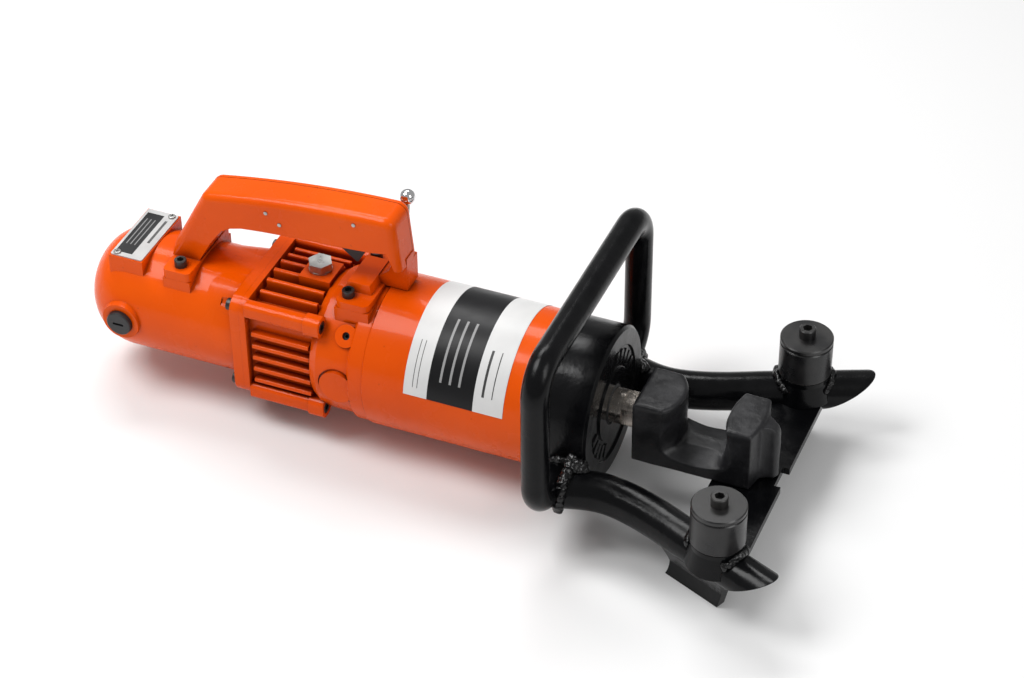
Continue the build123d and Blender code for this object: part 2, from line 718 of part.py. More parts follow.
with BuildPart() as bending_head:
    with BuildSketch(level(head_floor)):
        with BuildLine():
            Polyline((slot_rear - 10.0, head_half), (head_rear, head_half), (head_rear, -head_half),
                     (slot_rear - 10.0, -head_half))
            ThreePointArc((slot_rear - 10.0, -head_half), (slot_rear, 0), (slot_rear - 10.0, head_half))
        make_face()
    extrude(amount=head_top - head_floor)
    fillet(bending_head.edges().group_by(Axis.Z)[-1], 3.0)
    add(block((head_rear + 4.0, front_block - 4.0), (-head_half, head_half), (head_floor, slot_floor)))
    with BuildSketch(level(head_floor)):
        with BuildLine():
            ThreePointArc((slot_front + 4.0, -head_half), (slot_front, 0), (slot_front + 4.0, head_half))
            Line((slot_front + 4.0, head_half), (front_block - 1.0, head_half))
            ThreePointArc((front_block - 1.0, head_half), (front_block + 3.0, 0),
                          (front_block - 1.0, -head_half))
            Line((front_block - 1.0, -head_half), (slot_front + 4.0, -head_half))
        make_face()
    extrude(amount=front_block_top - head_floor)
    fillet(bending_head.edges().filter_by_position(
        Axis.Z, axis_height + front_block_top - 0.05, axis_height + front_block_top + 0.05), 2.5)
    add(nose.part)
    for side_sign in (-1, 1):
        add(loft([slot_section(side_sign * slot_side, slot_profile),
                  slot_section(side_sign * (head_half + 0.3), slot_mouth)]), mode=Mode.SUBTRACT)
    add(disc(across(head_rear), 9.0, 15.0), mode=Mode.SUBTRACT)
save(bending_head.part, "bending_head")

# =============================================================== arms, rollers and feet
arm_tip_x = roller_station + arm_tip * cos(radians(arm_angle))
arm_tip_y = roller_offset + arm_tip * sin(radians(arm_angle))
tip_reach = 60.0


def post_place(side_sign, z):
    return level(z, roller_station, side_sign * roller_offset)


def arm_plane(side_sign, along, z):
    """Upright plane along the straight end of an arm, at a distance past the post."""
    angle = radians(side_sign * arm_angle)
    return Plane(origin=place(roller_station + along * cos(angle),
                              side_sign * roller_offset + along * sin(angle), z),
                 x_dir=(cos(angle), sin(angle), 0), z_dir=(sin(angle), -cos(angle), 0))


def bent_arm(side_sign):
    """Round bar from the bail's elbow to a tip that is cut back underneath."""
    angle = radians(arm_angle)
    bend_end = (roller_station - 20.0, roller_offset - 20.0 * tan(angle))
    stations = [(-14.0, 73.0), (15.0, 66.5), (40.0, 70.0), (67.0, 79.5), bend_end]
    bends = [place(x, side_sign * y, arm_level) for x, y in stations]
    with BuildPart() as arm:
        with BuildLine() as route:
            Spline(*bends, tangents=[(1, side_sign * -0.3, 0), (cos(angle), side_sign * sin(angle), 0)])
            Line(bends[-1], place(arm_tip_x, side_sign * arm_tip_y, arm_level))
        with BuildSketch(Plane(bends[0], z_dir=route.line % 0)):
            Circle(arm_radius)
        sweep(path=route.line)
        with BuildSketch(arm_plane(side_sign, arm_tip, arm_level + arm_radius)):
            Polygon((0, 0), (-arm_tip_slope * tip_reach, -tip_reach), (tip_reach, -tip_reach),
                    (tip_reach, tip_reach), (arm_tip_slope * tip_reach, tip_reach), align=None)
        extrude(amount=30.0, both=True, mode=Mode.SUBTRACT)
    return arm.part


arms = {side_sign: bent_arm(side_sign) for side_sign in (-1, 1)}


def bail_path():
    """Centre line of the front handle, in the plane across the tool."""
    rise = bail_top - bail_bend
    drop = bail_bottom + bail_bend
    corner = bail_bend * (1 - cos(pi / 4))
    with BuildLine(across(bail_station)) as route:
        Line((-bail_inner, bail_bottom), (-bail_half + bail_bend, bail_bottom))
        ThreePointArc((-bail_half + bail_bend, bail_bottom), (-bail_half + corner, bail_bottom + corner),
                      (-bail_half, drop))
        Line((-bail_half, drop), (-bail_half, rise))
        ThreePointArc((-bail_half, rise), (-bail_half + corner, bail_top - corner),
                      (-bail_half + bail_bend, bail_top))
        Line((-bail_half + bail_bend, bail_top), (bail_half - bail_bend, bail_top))
        ThreePointArc((bail_half - bail_bend, bail_top), (bail_half - corner, bail_top - corner),
                      (bail_half, rise))
        Line((bail_half, rise), (bail_half, drop))
        ThreePointArc((bail_half, drop), (bail_half - corner, bail_bottom + corner),
                      (bail_half - bail_bend, bail_bottom))
        Line((bail_half - bail_bend, bail_bottom), (bail_inner, bail_bottom))
    return route.line


bail_line = bail_path()
with BuildPart() as front_handle:
    with BuildSketch(Plane(bail_line @ 0, z_dir=bail_line % 0)):
        Circle(bail_radius)
    sweep(path=bail_line)
    add(disc(across(tube_front - 1.0), cap_radius, -tube_front + 1.0), mode=Mode.SUBTRACT)
save(front_handle.part, "front_handle")

for arm_name, side_sign in (("right_arm", -1), ("left_arm", 1)):
    with BuildPart() as fitted_arm:
        add(arms[side_sign])
        add(front_handle.part, mode=Mode.SUBTRACT)
        add(disc(across(tube_front), cap_radius, -tube_front), mode=Mode.SUBTRACT)
    save(fitted_arm.part, arm_name)

base_radius = roller_radius - 0.5
base_flare = 3.5
base_bottom = arm_level - 0.3
base_top = roller_bottom - roller_gap
with BuildPart() as post_bases:
    for side_sign in (-1, 1):
        with BuildSketch(post_place(side_sign, base_bottom)):
            Circle(base_radius + base_flare)
        with BuildSketch(post_place(side_sign, base_top - 4.0)):
            Circle(base_radius)
        loft()
        add(disc(post_place(side_sign, base_top - 4.0), base_radius, 4.0))
        add(disc(post_place(side_sign, base_bottom), post_radius, 50.0), mode=Mode.SUBTRACT)
        add(arms[side_sign], mode=Mode.SUBTRACT)
save(post_bases.part, "post_bases")

with BuildPart() as post_pins:
    for side_sign in (-1, 1):
        add(disc(post_place(side_sign, base_bottom), post_radius, roller_top + roller_gap - base_bottom))
        add(disc(post_place(side_sign, -5.0), 4.0, 30.0), mode=Mode.SUBTRACT)
        add(arms[side_sign], mode=Mode.SUBTRACT)
save(post_pins.part, "post_pins")

roller_bore = post_radius + 0.08
roller_height = roller_top - roller_bottom
for roller_name, side_sign in (("right_roller", -1), ("left_roller", 1)):
    roller_foot = post_place(side_sign, roller_bottom)
    save(disc(roller_foot, roller_radius, roller_height, hole=roller_bore, edge=0.8), roller_name)

with BuildPart() as roller_caps:
    for side_sign in (-1, 1):
        add(disc(post_place(side_sign, roller_top + roller_gap), roller_radius, roller_cap, edge=0.8))
        add(disc(post_place(side_sign, roller_top), 4.1, 10.0), mode=Mode.SUBTRACT)
save(roller_caps.part, "roller_caps")

with BuildPart() as roller_screws:
    for side_sign in (-1, 1):
        add(socket_screw(8.0, 24.0, post_place(side_sign, roller_top + roller_gap + roller_cap)))
save(roller_screws.part, "roller_screws")

foot_start = -45.0
foot_end = 6.0
half_plate = 4.0
gusset_foot = arm_level - 26.0
foot_list = []
for side_sign in (-1, 1):
    angle = radians(side_sign * arm_angle)
    along = foot_start - 10.0
    cross_section = Plane(origin=place(roller_station + along * cos(angle),
                                       side_sign * roller_offset + along * sin(angle), 0),
                          x_dir=(-sin(angle), cos(angle), 0), z_dir=(cos(angle), sin(angle), 0))
    with BuildPart() as foot:
        with BuildSketch(arm_plane(side_sign, 0, 0)):
            with BuildLine():
                Polyline((foot_start, foot_bottom), (foot_end, foot_bottom), (foot_end + 10.0, arm_level),
                         (foot_start, arm_level), (foot_start, arm_level - 8.0))
                ThreePointArc((foot_start, arm_level - 8.0), (foot_start + 4.0, arm_level - 22.0),
                              (foot_start, foot_bottom))
            make_face()
        extrude(amount=arm_radius, both=True)
        with BuildSketch(cross_section):
            Polygon((-half_plate, foot_bottom), (half_plate, foot_bottom), (half_plate, gusset_foot),
                    (arm_radius - 0.2, arm_level), (0.2 - arm_radius, arm_level), (-half_plate, gusset_foot),
                    align=None)
        extrude(amount=90.0, mode=Mode.INTERSECT)
        add(arms[side_sign], mode=Mode.SUBTRACT)
        post_room = disc(post_place(side_sign, base_bottom - 1.0), base_radius + base_flare, 20.0)
        add(post_room, mode=Mode.SUBTRACT)
    foot_list.extend(foot.part.solids().sort_by(SortBy.VOLUME)[-1:])
with BuildPart() as foot_plates:
    add(foot_list)
save(foot_plates.part, "foot_plates")

plate_front = 136.0
plate_rear = 86.0
with BuildPart() as cross_plate:
    with BuildSketch(level(head_floor - 7.0)):
        Polygon((plate_rear, -90.0), (plate_front, -100.0), (plate_front, -11.0), (plate_front - 5.0, -11.0),
                (plate_front - 5.0, 11.0), (plate_front, 11.0), (plate_front, 100.0), (plate_rear, 90.0),
                align=None)
    extrude(amount=6.0)
    for side_sign in (-1, 1):
        add(arms[side_sign], mode=Mode.SUBTRACT)
        with BuildSketch(arm_plane(side_sign, 0, 0)):
            with Locations((0, -40.0)):
                Rectangle(120.0, 80.0)
        extrude(amount=-side_sign * 60.0, mode=Mode.SUBTRACT)
    add(foot_plates.part, mode=Mode.SUBTRACT)
save(cross_plate.part.solids().sort_by(SortBy.VOLUME)[-1], "cross_plate")

# =============================================================== rear handle
grip_rear_top = (-329.2, 114.4)
grip_crown = (-254.0, 125.7)
grip_front_top = (-170.5, 130.6)
grip_under = [grip_front_top, (-166.0, 84.0), (-170.5, 86.0), (-173.4, 94.0),
              (-176.3, 101.0), (-188.0, 99.0), (-214.0, 97.0), (-255.0, 95.0), (-280.0, 93.2),
              (-297.0, 91.4), (-307.0, 88.6), (-315.0, 83.5), (-320.5, 76.0), (-325.5, 69.0),
              (-336.0, foot_top_rear), (-359.0, foot_top_rear), (-356.8, 62.5), grip_rear_top]
grip_corner = 9.0
grip_hollow = [(-318.0, 97.0), (-319.0, 107.0), (-311.0, 112.5), (-254.0, 120.5), (-178.0, 125.0),
               (-172.5, 119.0), (-172.5, 104.0), (-196.0, 103.5), (-262.0, 99.0)]
front_leg = [(-165.8, 60.5), (-192.0, 60.5), (-192.0, 66.0), (-181.0, 75.0), (-175.5, 90.0),
             (-165.8, 90.0)]
front_leg_near = -2.0
cover_bottom = 84.0
trigger_x = (-223.0, -188.0)
trigger_half = 5.5
trigger_pivot = (-191.0, 110.0)
cover_screw_places = [(-275.0, 112.0), (-264.0, 104.0), (-202.0, 121.0)]
wall = 3.0


def grip_form(near, far):
    """Side outline of the rear handle between two offsets, with rounded top corners."""
    with BuildPart() as form:
        with BuildSketch(side(far)):
            with BuildLine():
                ThreePointArc(grip_rear_top, grip_crown, grip_front_top)
                Polyline(*grip_under)
            make_face()
            top_corners = [v for v in vertices() if v.Y > 105.0]
            fillet(top_corners, grip_corner)
        extrude(amount=far - near)
    return form.part


def outline_form(points, near, far):
    """Side outline extruded between two offsets."""
    with BuildPart() as form:
        with BuildSketch(side(far)):
            with BuildLine():
                Polyline(*points, close=True)
            make_face()
        extrude(amount=far - near)
    return form.part


below_cover = block((-400.0, -100.0), (grip_near, grip_far), (0.0, cover_bottom))
hollow = outline_form(grip_hollow, grip_near + wall, grip_far - wall)
trigger_slot = block(trigger_x, (-trigger_half - 0.5, trigger_half + 0.5), (80.0, 106.0))

with BuildPart() as handle_body:
    add(grip_form(grip_near, grip_far))
    fillet(handle_body.edges().group_by(Axis.Y)[0].filter_by_position(
        Axis.Z, axis_height + 105.0, axis_height + 140.0), 6.5)
    add(outline_form(front_leg, front_leg_near, grip_far))
    add(block((-400.0, -100.0), (grip_seam, grip_far + 1.0), (cover_bottom, 140.0)), mode=Mode.SUBTRACT)
    with BuildSketch(level(rear_pad_top, sum(rear_pad_x) / 2)):
        RectangleRounded(rear_pad_x[1] - rear_pad_x[0], 2 * foot_half_y, 4.0)
    extrude(amount=foot_thickness)
    with BuildSketch(level(case_foot_top, sum(case_pad_x) / 2)):
        RectangleRounded(27.0, 2 * foot_half_y, 5.0)
    extrude(amount=front_foot_thickness)
    with BuildSketch(level(foot_top_front, -199.0)):
        Rectangle(22.0, 2 * handle_screw_y - 12.0)
    extrude(amount=7.0, taper=15.0)
    add(hollow, mode=Mode.SUBTRACT)
    add(trigger_slot, mode=Mode.SUBTRACT)
    add(disc(across(-420.0), motor_radius + 0.05, 120.0), mode=Mode.SUBTRACT)
    add(disc(across(lip_rear - 0.5), lip_radius + 0.05, 20.0), mode=Mode.SUBTRACT)
    for y in (-handle_screw_y, handle_screw_y):
        add(disc(level(38.0, handle_foot_rear, y), 3.1, 20.0), mode=Mode.SUBTRACT)
        add(disc(level(50.0, handle_foot_front, y), 3.1, 30.0), mode=Mode.SUBTRACT)
    add(disc(side(grip_far, trigger_pivot[0], trigger_pivot[1]), 1.5, 28.0), mode=Mode.SUBTRACT)
    for x, z in cover_screw_places:
        add(disc(side(grip_far, x, z), 1.55, 40.0), mode=Mode.SUBTRACT)
save(handle_body.part, "handle_body")

with BuildPart() as handle_cover:
    add(grip_form(grip_seam + seam_gap, grip_far))
    fillet(handle_cover.edges().group_by(Axis.Y)[-1].filter_by_position(
        Axis.Z, axis_height + 105.0, axis_height + 140.0), 4.5)
    add(below_cover, mode=Mode.SUBTRACT)
    add(hollow, mode=Mode.SUBTRACT)
    add(disc(side(grip_far, trigger_pivot[0], trigger_pivot[1]), 1.5, 28.0), mode=Mode.SUBTRACT)
    for x, z in cover_screw_places:
        add(disc(side(grip_far + 1.0, x, z), 1.6, 10.0), mode=Mode.SUBTRACT)
save(handle_cover.part, "handle_cover")

with BuildPart() as cover_screws:
    for x, z in cover_screw_places:
        screw_plane = Plane(origin=place(x, grip_far, z), x_dir=(1, 0, 0), z_dir=(0, 1, 0))
        add(pan_screw(3.0, grip_far - grip_near + 0.6, screw_plane))
    for x, y in plate_screws:
        add(pan_screw(3.0, 6.0, level(pad_top + plate_thickness, x, y)))
save(cover_screws.part, "cover_screws")

with BuildPart() as handle_screws:
    for y in (-handle_screw_y, handle_screw_y):
        add(socket_screw(6.0, 11.0, level(foot_top_rear, handle_foot_rear, y)))
        add(socket_screw(6.0, 20.0, level(foot_top_front, handle_foot_front, y)))
save(handle_screws.part, "handle_screws")

with BuildPart() as switch:
    add(block((-260.0, -218.5), (-9.0, 9.0), (103.5, 118.0), edge=0.8))
    add(block((-218.6, -216.0), (-3.0, 3.0), (105.0, 110.0)))
save(switch.part, "switch")

with BuildPart() as trigger:
    with BuildSketch(side(trigger_half)):
        with BuildLine():
            Polyline((-213.5, 97.5), (-219.5, 95.5), (-218.5, 90.0), (-204.8, 78.8), (-196.6, 93.8),
                     (-192.5, 98.0), (-188.6, 104.0), (-188.4, 113.0), (-196.0, 113.5), (-213.5, 108.5),
                     close=True)
        make_face()
        with Locations(trigger_pivot):
            Circle(1.56, mode=Mode.SUBTRACT)
    extrude(amount=2 * trigger_half)
    fillet(trigger.edges().filter_by(Axis.Y).group_by(Axis.Z)[0], 2.0)
save(trigger.part, "trigger")

pin_length = grip_far - grip_near - 3.4
save(disc(side(grip_far - 0.4, trigger_pivot[0], trigger_pivot[1]), 1.5, pin_length), "trigger_pin")

gland_place = Plane(origin=place(-343.0, grip_far, 64.0), x_dir=(1, 0, 0), z_dir=(0, 1, 0))
with BuildPart() as cord_gland:
    with BuildSketch(gland_place):
        RegularPolygon(8.0, 6)
    extrude(amount=5.0)
    with BuildSketch(gland_place.offset(5.0)):
        Circle(6.5)
    extrude(amount=12.0, taper=7.0)
    with BuildSketch(gland_place.offset(-4.0)):
        Circle(3.5)
    extrude(amount=24.0, mode=Mode.SUBTRACT)
save(cord_gland.part, "cord_gland")

# =============================================================== release valve
lever_pivot = valve_seat + 11.0
lug_half = 6.5
hub_half = 3.0
lever_lean = 6.0
lever_length = 49.0
with BuildPart() as release_valve:
    with BuildSketch(level(valve_seat, valve_x, valve_y)):
        RegularPolygon(8.0, 6)
    extrude(amount=6.0)
    add(block((valve_x - 4.5, valve_x + 4.5), (valve_y - lug_half, valve_y + lug_half),
              (valve_seat + 6.0, lever_pivot + 4.5)))
    add(block((valve_x - 6.0, valve_x + 6.0), (valve_y - hub_half - 0.3, valve_y + hub_half + 0.3),
              (valve_seat + 5.5, lever_pivot + 6.0)), mode=Mode.SUBTRACT)
    add(disc(level(valve_seat - 14.0, valve_x, valve_y), 3.95, 14.0))
    add(disc(side(valve_y + lug_half, valve_x, lever_pivot), 2.0, 2 * lug_half))
save(release_valve.part, "release_valve")

lever_plane = Plane(origin=place(valve_x, valve_y, lever_pivot), x_dir=(cos(radians(lever_lean)), 0,
                    -sin(radians(lever_lean))), z_dir=(sin(radians(lever_lean)), 0, cos(radians(lever_lean))))
with BuildPart() as release_lever:
    add(disc(side(valve_y + hub_half, valve_x, lever_pivot), 4.3, 2 * hub_half))
    add(disc(lever_plane, 2.5, lever_length - 4.0))
    add(disc(side(valve_y + lug_half, valve_x, lever_pivot), 2.0 + running_fit, 2 * lug_half),
        mode=Mode.SUBTRACT)
save(release_lever.part, "release_lever")

with BuildPart() as lever_knob:
    with Locations(lever_plane.offset(lever_length)):
        Sphere(6.2)
    add(disc(lever_plane.offset(lever_length - 7.0), 2.5, 3.1), mode=Mode.SUBTRACT)
save(lever_knob.part, "lever_knob")

# =============================================================== welds
def weld_run(points, size):
    """Row of overlapping beads between the given points."""
    with BuildPart() as beads:
        for start, end in zip(points, points[1:]):
            span = [b - a for a, b in zip(start, end)]
            count = max(1, round(sqrt(sum(v * v for v in span)) / (0.9 * size)))
            for step in range(count):
                spot = [a + v * step / count for a, v in zip(start, span)]
                with Locations(place(*spot)):
                    Sphere(size)
    return beads.part


joint_runs = [
    [(-33.0, 54.0, -31.0), (-32.0, 56.5, -21.0), (-20.5, 59.5, -13.5), (-9.0, 59.0, -14.0),
     (-1.0, 59.0, -14.5)],
    [(-9.0, 61.5, -7.0), (-4.0, 62.0, -9.5), (1.5, 61.0, -13.5)],
    [(-9.0, 66.5, -10.5), (-2.5, 65.5, -12.5), (4.0, 63.0, -14.5)],
    [(-9.0, 63.0, -14.5), (-9.0, 72.0, -12.0), (-9.0, 82.0, -15.5), (-9.5, 87.0, -23.5),
     (-10.0, 88.0, -31.5), (-10.5, 84.0, -39.0)],
    [(-30.0, 50.0, -36.5), (-20.5, 48.0, -37.5), (-9.0, 45.0, -42.5), (-2.0, 44.0, -43.5)],
]
post_run = [(15.0, -12.6, -18.0), (18.7, -7.7, -15.2), (20.6, 0.4, -12.7), (18.7, 8.3, -15.2),
            (15.0, 13.0, -18.0)]
weld_size = 4.2
post_weld_size = 3.6
arm_turn = radians(arm_angle)
left_runs = [(run, weld_size) for run in joint_runs]
for end_sign in (-1, 1):
    turned_run = [(roller_station + end_sign * x * cos(arm_turn) - y * sin(arm_turn),
                   roller_offset + end_sign * x * sin(arm_turn) + y * cos(arm_turn), z)
                  for x, y, z in post_run]
    left_runs.append((turned_run, post_weld_size))

# the last arm fitted above is the left one, so its beads are made and then mirrored
left_beads = []
for run, size in left_runs:
    with BuildPart() as bead:
        add(weld_run(run, size))
        add(fitted_arm.part, mode=Mode.SUBTRACT)
        add(front_handle.part, mode=Mode.SUBTRACT)
        add(post_bases.part, mode=Mode.SUBTRACT)
        add(disc(across(tube_front), cap_radius, -tube_front), mode=Mode.SUBTRACT)
        add(disc(across(tube_rear), tube_radius, tube_front - tube_rear), mode=Mode.SUBTRACT)
    left_beads.append(bead.part.solids().sort_by(SortBy.VOLUME)[-1])
with BuildPart() as weld_beads:
    add(left_beads)
    mirror(about=Plane.XZ)
save(weld_beads.part, "weld_beads")
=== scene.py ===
import bmesh
import bpy
from mathutils import Matrix, Vector, noise


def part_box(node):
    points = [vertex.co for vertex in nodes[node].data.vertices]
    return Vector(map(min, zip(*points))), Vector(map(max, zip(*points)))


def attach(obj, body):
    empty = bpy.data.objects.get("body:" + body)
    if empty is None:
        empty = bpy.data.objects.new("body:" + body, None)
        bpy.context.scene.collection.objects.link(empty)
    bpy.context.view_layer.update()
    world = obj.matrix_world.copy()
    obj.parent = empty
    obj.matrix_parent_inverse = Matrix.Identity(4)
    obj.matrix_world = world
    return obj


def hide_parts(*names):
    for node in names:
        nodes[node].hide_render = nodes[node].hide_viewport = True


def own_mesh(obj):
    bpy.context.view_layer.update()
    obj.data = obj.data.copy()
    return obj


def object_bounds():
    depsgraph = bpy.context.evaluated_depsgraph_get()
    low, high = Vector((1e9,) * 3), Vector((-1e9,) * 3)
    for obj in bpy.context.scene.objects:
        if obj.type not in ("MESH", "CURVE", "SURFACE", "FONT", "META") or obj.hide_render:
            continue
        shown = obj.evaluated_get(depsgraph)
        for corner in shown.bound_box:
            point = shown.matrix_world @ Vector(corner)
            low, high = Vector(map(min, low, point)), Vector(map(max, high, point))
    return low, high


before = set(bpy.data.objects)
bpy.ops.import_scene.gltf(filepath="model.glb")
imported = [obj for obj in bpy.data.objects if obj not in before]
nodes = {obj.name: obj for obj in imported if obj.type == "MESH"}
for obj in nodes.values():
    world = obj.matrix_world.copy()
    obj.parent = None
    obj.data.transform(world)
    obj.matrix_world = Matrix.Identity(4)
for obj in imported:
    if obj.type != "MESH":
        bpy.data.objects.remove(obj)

# Portable electro-hydraulic bar bender. Lengths are in metres, angles in radians.
# X runs from the motor to the bending head, Z is up, and -Y is the side nearest the camera.

scene = bpy.context.scene
cad_low, cad_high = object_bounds()

# ---------------------------------------------------------------- places read from the CAD
LABEL_LOW, LABEL_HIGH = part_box("cylinder_label")
PLATE_LOW, PLATE_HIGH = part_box("nameplate")
AXIS_HEIGHT = sum(corner.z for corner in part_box("cylinder_tube")) / 2
ROLLER_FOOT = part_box("right_roller")[0].z

# ---------------------------------------------------------------- camera, light and floor
CAMERA_PLACE = Vector((0.67306, -1.4877, 1.4121))
CAMERA_RIGHT = Vector((0.92455, 0.38099, -0.00749))
CAMERA_UP = Vector((-0.23418, 0.58357, 0.77755))
CAMERA_BACK = Vector((0.30062, -0.71713, 0.62876))
CAMERA_LENS = 97.42
SENSOR_WIDTH = 36.0
CLIP_START, CLIP_END = 0.05, 20.0

WORLD_STRENGTH = 0.40
# Name, place, width, height and power in watts; each one faces the middle of the tool.
AREA_LIGHTS = [
    ("key", (-0.9, -0.5, 1.8), 0.9, 0.9, 27.0),
    ("rear", (-0.55, 0.75, 1.6), 1.1, 0.45, 16.0),
    ("front", (1.5, -0.5, 1.2), 0.6, 0.9, 10.0),
]

FLOOR_HALF_WIDTH = 6.0
FLOOR_GAP = 0.0002      # keeps the floor off the tool's lowest faces


def make_camera():
    data = bpy.data.cameras.new("camera")
    data.lens = CAMERA_LENS
    data.sensor_width = SENSOR_WIDTH
    data.clip_start = CLIP_START
    data.clip_end = CLIP_END
    camera = bpy.data.objects.new("camera", data)
    turn = Matrix((CAMERA_RIGHT, CAMERA_UP, CAMERA_BACK)).transposed()
    camera.matrix_world = Matrix.Translation(CAMERA_PLACE) @ turn.to_4x4()
    scene.collection.objects.link(camera)
    scene.camera = camera


def make_world():
    world = bpy.data.worlds.new("studio")
    world.use_nodes = True
    background = world.node_tree.nodes["Background"]
    background.inputs["Color"].default_value = (1.0, 1.0, 1.0, 1.0)
    background.inputs["Strength"].default_value = WORLD_STRENGTH
    scene.world = world


def make_area_lights():
    target = (cad_low + cad_high) / 2
    for name, place, width, height, power in AREA_LIGHTS:
        data = bpy.data.lights.new(name, "AREA")
        data.shape = "RECTANGLE"
        data.size = width
        data.size_y = height
        data.energy = power
        light = bpy.data.objects.new(name, data)
        light.location = place
        light.rotation_mode = "QUATERNION"
        light.rotation_quaternion = (target - Vector(place)).to_track_quat("-Z", "Y")
        scene.collection.objects.link(light)


# ---------------------------------------------------------------- shader helpers
class Shader:
    """A node material under construction; every helper returns the socket it makes."""

    def __init__(self, name, **settings):
        self.material = bpy.data.materials.new(name)
        self.material.use_nodes = True
        self.tree = self.material.node_tree
        self.surface = self.tree.nodes["Principled BSDF"]
        sockets = {socket.name.lower(): socket for socket in self.surface.inputs}
        for key, value in settings.items():
            sockets[key.replace("_", " ")].default_value = value
        self.coords = self.tree.nodes.new("ShaderNodeTexCoord").outputs["Object"]

    def put(self, socket, value):
        if isinstance(value, bpy.types.NodeSocket):
            self.tree.links.new(value, socket)
        else:
            socket.default_value = value

    def feed(self, name, value):
        self.put(self.surface.inputs[name], value)

    def scaled(self, factors):
        """Object coordinates multiplied axis by axis, which stretches a grain."""
        node = self.tree.nodes.new("ShaderNodeMapping")
        self.put(node.inputs["Vector"], self.coords)
        node.inputs["Scale"].default_value = factors
        return node.outputs["Vector"]

    def noise(self, scale, detail=3.0, rough=0.5, vector=None):
        node = self.tree.nodes.new("ShaderNodeTexNoise")
        self.put(node.inputs["Vector"], vector or self.coords)
        node.inputs["Scale"].default_value = scale
        node.inputs["Detail"].default_value = detail
        node.inputs["Roughness"].default_value = rough
        return node.outputs["Fac"]

    def remap(self, value, low, high, to_low=0.0, to_high=1.0):
        node = self.tree.nodes.new("ShaderNodeMapRange")
        self.put(node.inputs["Value"], value)
        node.inputs["From Min"].default_value = low
        node.inputs["From Max"].default_value = high
        node.inputs["To Min"].default_value = to_low
        node.inputs["To Max"].default_value = to_high
        return node.outputs["Result"]

    def maths(self, operation, a, b=0.0, c=0.0):
        node = self.tree.nodes.new("ShaderNodeMath")
        node.operation = operation
        for socket, value in zip(node.inputs, (a, b, c)):
            self.put(socket, value)
        return node.outputs["Value"]

    def mix(self, factor, a, b):
        """Colour between a and b, each a socket or an RGB tuple."""
        node = self.tree.nodes.new("ShaderNodeMix")
        node.data_type = "RGBA"
        self.put(node.inputs["Factor"], factor)
        colour_a, colour_b = [s for s in node.inputs if s.type == "RGBA"]
        self.put(colour_a, (*a, 1.0) if isinstance(a, tuple) else a)
        self.put(colour_b, (*b, 1.0) if isinstance(b, tuple) else b)
        return [s for s in node.outputs if s.type == "RGBA"][0]

    def bump(self, height, distance, normal=None):
        node = self.tree.nodes.new("ShaderNodeBump")
        node.inputs["Strength"].default_value = 1.0
        node.inputs["Distance"].default_value = distance
        self.put(node.inputs["Height"], height)
        if normal is not None:
            self.put(node.inputs["Normal"], normal)
        return node.outputs["Normal"]

    def rounded(self, radius):
        """Normal that rolls over sharp edges, as thick paint does."""
        node = self.tree.nodes.new("ShaderNodeBevel")
        node.samples = 4
        node.inputs["Radius"].default_value = radius
        return node.outputs["Normal"]

    def axes(self):
        node = self.tree.nodes.new("ShaderNodeSeparateXYZ")
        self.put(node.inputs["Vector"], self.coords)
        return node.outputs["X"], node.outputs["Y"], node.outputs["Z"]

    def crevice(self, distance):
        """Falls from 1 in the open towards 0 in a corner narrower than distance."""
        node = self.tree.nodes.new("ShaderNodeAmbientOcclusion")
        node.samples = 6
        node.inputs["Distance"].default_value = distance
        return node.outputs["AO"]

    def worn_and_lit_edge(self, low, high):
        """Rises from 0 to 1 where the mesh turns outward more sharply."""
        node = self.tree.nodes.new("ShaderNodeNewGeometry")
        return self.remap(node.outputs["Pointiness"], low, high)

    def band(self, value, low, high):
        """1 where value lies between low and high, otherwise 0."""
        above = self.maths("GREATER_THAN", value, low)
        below = self.maths("LESS_THAN", value, high)
        return self.maths("MULTIPLY", above, below)

    def roughness_from(self, pattern, low, high):
        """Roughness between low and high over the middle of a noise pattern's range."""
        self.feed("Roughness", self.remap(pattern, 0.3, 0.7, low, high))


# ---------------------------------------------------------------- paints, steels and prints
PAINT_EDGE_RADIUS = 0.0008      # how far the paint rounds a sharp edge
CREVICE_SHADE_REACH = 0.012             # how far the painted crevice shade spreads out of a corner

# Heights above a roller's foot where its worn rim starts and where it is full.
BARE_RIM_FADE = (0.0010, 0.0005)

# The label. Along: fractions of its length, rear to front. Round: up from the near side.
LABEL_BLACK_BAND = (0.2375, 0.700)
REAR_RULES, REAR_RULES_ROUND = [(0.085, 0.092), (0.130, 0.137)], (0.30, 0.92)
FRONT_RULES, FRONT_RULES_ROUND = [(0.775, 0.800), (0.875, 0.885)], (0.40, 1.00)
PALE_RULES, PALE_RULES_ROUND = [(0.345, 0.368), (0.440, 0.463), (0.535, 0.558)], (0.45, 1.30)

# The nameplate. X: distances from its rear edge. Ends: gaps to its near and far edges.
PANEL_X, PANEL_ENDS = (0.0020, 0.0165), (0.0045, 0.0045)
ROWS_X, ROW_WIDTH, ROW_ENDS = (0.0050, 0.0085, 0.0120), 0.0009, (0.016, 0.012)
STRIP_X, STRIP_ENDS = (0.0200, 0.0222), (0.022, 0.010)


